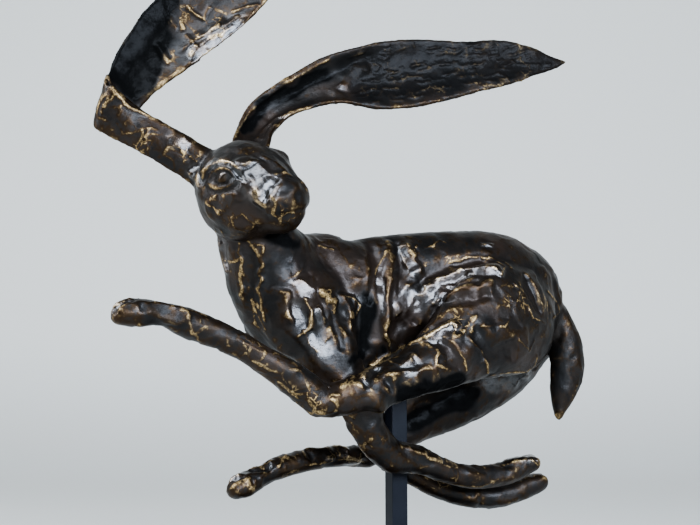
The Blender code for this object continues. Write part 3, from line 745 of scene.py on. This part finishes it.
# The material reads these at the spots: how far narrow ridges and broad bulges stand out, over the height
# that counts as one, and the paints
RIDGE_ROUNDS, RIDGE_HEIGHT = 8, 0.25
BULGE_ROUNDS, BULGE_HEIGHT = 60, 1.2
ridge = clay.raised(RIDGE_ROUNDS) / RIDGE_HEIGHT
ridge[blade] *= 0.5
ridge[socket] *= 0.6
bulge = clay.raised(BULGE_ROUNDS) / BULGE_HEIGHT
paints = {"ridge": ridge, "bulge": bulge, "gilt": clay.gold, "web": clay.web, "dull_and_shade": clay.dull_and_shade}
for name, values in paints.items():
    made = clay.piece.data.attributes.new(name, "FLOAT", "POINT")
    made.data.foreach_set("value", np.clip(values, -1, DULL_AND_SHADE_MOST))
clay.thin_out(TRIANGLES)


# Colours of the bronze and of the paint
# The first colour is the black of painted shade
PAINTED_SHADE_BLACK = (0.004, 0.004, 0.004, 1)
BLACK_BROWN = (0.0065, 0.0055, 0.0048, 1)
BROWN = (0.015, 0.011, 0.0084, 1)
RED_BROWN = (0.032, 0.019, 0.0125, 1)
RUBBED_BROWN = (0.065, 0.039, 0.02, 1)
DARK_GOLD = (0.11, 0.072, 0.034, 1)
GOLD = (0.42, 0.305, 0.155, 1)
DARK_PAINT = (0.004, 0.005, 0.008, 1)
PAINT = (0.008, 0.010, 0.016, 1)
# How far the web of lines is bent, in metres
WEB_BEND = 0.009


class Nodes:
    """Short ways to lay out a material's nodes."""

    def __init__(self, name):
        self.material = bpy.data.materials.new(name)
        self.material.use_nodes = True
        self.tree = self.material.node_tree
        self.shader = self.tree.nodes["Principled BSDF"]

    def add(self, kind, inputs=(), **settings):
        node = self.tree.nodes.new("ShaderNode" + kind)
        for key, value in settings.items():
            setattr(node, key, value)
        for key, value in dict(inputs).items():
            self.put(node.inputs[key], value)
        return node

    def put(self, socket, value):
        """Links another node to a socket, or sets a number or colour on it."""
        if isinstance(value, bpy.types.NodeSocket):
            self.tree.links.new(value, socket)
        else:
            socket.default_value = value

    def maths(self, operation, a, b=0.0, clamp=False):
        node = self.add("Math", operation=operation, use_clamp=clamp)
        self.put(node.inputs[0], a)
        self.put(node.inputs[1], b)
        return node.outputs[0]

    def ramp(self, value, low, high, start=0.0, end=1.0):
        """A smooth step of a value."""
        limits = {"Value": value, "From Min": low, "From Max": high, "To Min": start, "To Max": end}
        node = self.add("MapRange", limits, interpolation_type="SMOOTHSTEP", clamp=True)
        return node.outputs["Result"]

    def noise(self, place, scale, detail=3.0, roughness=0.55):
        inputs = {"Vector": place, "Scale": scale, "Detail": detail, "Roughness": roughness}
        return self.add("TexNoise", inputs).outputs["Fac"]

    def border(self, place, scale):
        """How far a place is from the border between two cells, in metres."""
        node = self.add("TexVoronoi", {"Vector": place, "Scale": scale}, feature="DISTANCE_TO_EDGE")
        return self.maths("DIVIDE", node.outputs["Distance"], scale)

    def mix(self, share, a, b):
        """One colour turned into another. A Mix node has its colours at sockets 6, 7 and 2."""
        node = self.add("Mix", {0: share, 6: a, 7: b}, data_type="RGBA")
        return node.outputs[2]


def bronze_patina():
    """Dark bronze, with gold where its ridges and lines are rubbed. It goes glossy and bright where the
    dullness paint is low, and where it is highest it is painted black, as painted shade."""
    n = Nodes("bronze_patina")
    place = n.add("TexCoord").outputs["Object"]
    names = ("ridge", "bulge", "gilt", "web", "dull_and_shade")
    ridge, bulge, gilt, web, dull_and_shade = (n.add("Attribute", attribute_name=k).outputs["Fac"] for k in names)
    grain = n.noise(place, 260, 4, 0.6)
    specks = n.noise(place, 700, 2, 0.7)

    # the ground, from black-brown to red-brown
    patches = n.ramp(n.noise(place, 38, 4), 0.4, 0.62)
    ground = n.mix(patches, BLACK_BROWN, BROWN)
    warm = n.ramp(n.noise(place, 24, 3), 0.48, 0.66)
    ground = n.mix(n.maths("MULTIPLY", warm, 0.6), ground, RED_BROWN)

    # a web of lines between cells of two sizes, bent and broken by noise
    bend = n.add("TexNoise", {"Vector": place, "Scale": 90, "Detail": 2.0}).outputs["Color"]
    bend = n.add("VectorMath", {0: bend, 1: (0.5, 0.5, 0.5)}, operation="SUBTRACT").outputs[0]
    bent = {0: bend, 1: (WEB_BEND, WEB_BEND, WEB_BEND), 2: place}
    moved = n.add("VectorMath", bent, operation="MULTIPLY_ADD").outputs[0]
    coarse = n.ramp(n.border(moved, 62), 0.0006, 0.0013, 1.0, 0.0)
    coarse = n.maths("MULTIPLY", coarse, n.ramp(n.noise(place, 75, 3), 0.45, 0.6))
    fine = n.ramp(n.border(moved, 170), 0.0002, 0.0006, 1.0, 0.0)
    fine = n.maths("MULTIPLY", fine, n.ramp(n.noise(place, 55, 3), 0.5, 0.64))
    lines = n.maths("MULTIPLY", n.maths("ADD", coarse, fine), web)

    # how worn each place is, and so how golden
    uneven = n.maths("MULTIPLY", n.maths("SUBTRACT", grain, 0.5), 1.4)
    broken = n.maths("MULTIPLY", n.maths("SUBTRACT", n.noise(place, 95, 2), 0.5), 2.3)
    strength = n.ramp(n.noise(place, 48, 2), 0.35, 0.6, 0.35, 0.75)
    worn = n.maths("ADD", n.maths("MULTIPLY", ridge, 0.5), n.maths("MULTIPLY", gilt, strength))
    worn = n.maths("ADD", worn, n.maths("MULTIPLY", lines, 0.9))
    worn = n.maths("ADD", worn, n.maths("ADD", uneven, broken))
    gold = n.ramp(worn, 0.55, 1.3)
    rub = n.maths("ADD", worn, n.maths("MULTIPLY", bulge, 0.25))
    rub = n.ramp(n.maths("ADD", rub, n.maths("MULTIPLY", web, 0.2)), 0.12, 0.9)
    # Painted shade: the highest dullness turns the colour black and takes away the metal and its reflection
    shade = n.ramp(dull_and_shade, 0.85, 1.5)
    lit = n.maths("SUBTRACT", 1.0, shade)

    colour = n.mix(n.maths("MULTIPLY", rub, 0.5), ground, RUBBED_BROWN)
    colour = n.mix(gold, colour, n.mix(n.ramp(specks, 0.35, 0.65), DARK_GOLD, GOLD))
    colour = n.mix(shade, colour, PAINTED_SHADE_BLACK)
    s = n.shader.inputs
    n.put(s["Base Color"], colour)
    n.put(s["Metallic"], n.maths("MULTIPLY", n.ramp(rub, 0.0, 1.0, 0.55, 1.0), lit))
    rough = n.ramp(n.maths("ADD", grain, gold), 0.3, 1.4, 0.3, 0.42)
    n.put(s["Roughness"], n.maths("ADD", rough, n.maths("MULTIPLY", dull_and_shade, 0.16)))
    n.put(s["Specular IOR Level"], n.maths("MULTIPLY", lit, 0.4))
    uneven_coat = n.ramp(n.noise(place, 150, 3), 0.3, 0.55, 0.35, 1.0)
    n.put(s["Coat Weight"], n.maths("MULTIPLY", n.ramp(dull_and_shade, 0.0, 0.9, 0.9, 0.05), uneven_coat))
    s["Coat Roughness"].default_value = 0.24
    s["Coat IOR"].default_value = 1.6

    height = n.maths("ADD", n.maths("MULTIPLY", n.noise(place, 420, 3), 0.8), grain)
    height = n.maths("ADD", height, n.maths("MULTIPLY", lines, 0.25))
    bump = n.add("Bump", {"Height": height, "Strength": 0.3, "Distance": 0.0006})
    n.put(s["Normal"], bump.outputs[0])
    n.put(s["Coat Normal"], bump.outputs[0])
    return n.material


def satin_black():
    """The paint of the post and the plate."""
    n = Nodes("satin_black_paint")
    place = n.add("TexCoord").outputs["Object"]
    fine = n.noise(place, 900, 3, 0.6)
    cloud = n.noise(place, 30, 3)
    s = n.shader.inputs
    n.put(s["Base Color"], n.mix(cloud, DARK_PAINT, PAINT))
    n.put(s["Roughness"], n.ramp(cloud, 0.3, 0.7, 0.3, 0.42))
    s["Metallic"].default_value = 0.0
    s["Specular IOR Level"].default_value = 0.15
    bump = n.add("Bump", {"Height": fine, "Strength": 0.12, "Distance": 0.0003})
    n.put(s["Normal"], bump.outputs[0])
    return n.material


def plaster():
    """The backdrop, which gives off some light of its own, more of it higher up."""
    n = Nodes("pale_backdrop")
    s = n.shader.inputs
    s["Base Color"].default_value = (0.45, 0.46, 0.45, 1)
    s["Roughness"].default_value = 0.9
    s["Emission Color"].default_value = (0.97, 1.0, 0.98, 1)
    height = n.add("SeparateXYZ", {0: n.add("TexCoord").outputs["Object"]}).outputs["Z"]
    n.put(s["Emission Strength"], n.ramp(height, 0.0, 0.35, 0.2, 0.42))
    return n.material


clay.piece.data.materials.clear()
clay.piece.data.materials.append(bronze_patina())
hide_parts("hare")
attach(clay.piece, "root")

paint = satin_black()
for name in ("post", "base_plate"):
    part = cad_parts[name]
    part.data.materials.clear()
    part.data.materials.append(paint)

# Ways along the floor, as the camera sees them
ACROSS = Vector(RIGHT)
AWAY = Vector((-BACK[0], -BACK[1], 0)).normalized()


def at(right, toward, up):
    """A place given from the hare in metres: to the camera's right, toward the camera and up."""
    return ACROSS * right - AWAY * toward + Vector((0, 0, up))


# Backdrop: one sheet that rises from the floor behind the hare, by how far behind it and how high
BACKDROP = [(-8.0, 0.0), (1.0, 0.0), (1.25, 0.03), (1.45, 0.12), (1.58, 0.3), (1.62, 0.55), (1.62, 3.2)]
BACKDROP_SIDE = 9.0
BELOW_PLATE = 0.0005
sheet = bmesh.new()
rows = []
for reach, height in BACKDROP:
    corners = [at(side, -reach, height - BELOW_PLATE) for side in (-BACKDROP_SIDE, BACKDROP_SIDE)]
    rows.append([sheet.verts.new(corner) for corner in corners])
for low, high in zip(rows, rows[1:]):
    sheet.faces.new((low[0], low[1], high[1], high[0]))
shape = bpy.data.meshes.new("backdrop")
sheet.to_mesh(shape)
sheet.free()
shape.shade_smooth()
shape.materials.append(plaster())
backdrop = bpy.data.objects.new("backdrop", shape)
bpy.context.scene.collection.objects.link(backdrop)
rounded = backdrop.modifiers.new("rounded", "SUBSURF")
rounded.levels = 2
rounded.render_levels = 2

LIGHTS_AIM = Vector((0, 0, 0.3))


def softbox(name, place, width, height, power, colour):
    """A lit rectangle that faces the hare."""
    light = bpy.data.lights.new(name, "AREA")
    light.shape = "RECTANGLE"
    light.size = width
    light.size_y = height
    light.energy = power
    light.color = colour
    lamp = bpy.data.objects.new(name, light)
    lamp.location = place
    lamp.rotation_mode = "QUATERNION"
    lamp.rotation_quaternion = (LIGHTS_AIM - place).to_track_quat("-Z", "Y")
    bpy.context.scene.collection.objects.link(lamp)


softbox("window", at(0.85, 1.3, 0.65), 1.2, 0.6, 54, (0.74, 0.84, 1.0))
softbox("skylight", at(-0.6, 0.95, 1.25), 1.2, 0.5, 30, (0.78, 0.87, 1.0))
softbox("side_window", at(-1.5, 0.35, 0.5), 0.4, 0.9, 9, (0.85, 0.91, 1.0))
softbox("rooflight", at(-1.1, 0.15, 1.35), 0.5, 0.5, 16, (0.9, 0.95, 1.0))

world = bpy.data.worlds.new("room")
bpy.context.scene.world = world
world.use_nodes = True
background = world.node_tree.nodes["Background"].inputs
background["Color"].default_value = (0.75, 0.79, 0.82, 1)
background["Strength"].default_value = 0.2

camera_data = bpy.data.cameras.new("camera")
camera_data.lens = LENS
camera_data.sensor_width = SENSOR
camera_data.clip_start = 0.01
camera_data.clip_end = 20
camera = bpy.data.objects.new("camera", camera_data)
camera.location = EYE / 1000
camera.rotation_mode = "QUATERNION"
camera.rotation_quaternion = Vector(-BACK).to_track_quat("-Z", "Y")
bpy.context.scene.collection.objects.link(camera)
bpy.context.scene.camera = camera
bpy.context.scene.view_settings.view_transform = "AgX"
bpy.context.scene.view_settings.look = "AgX - Medium High Contrast"
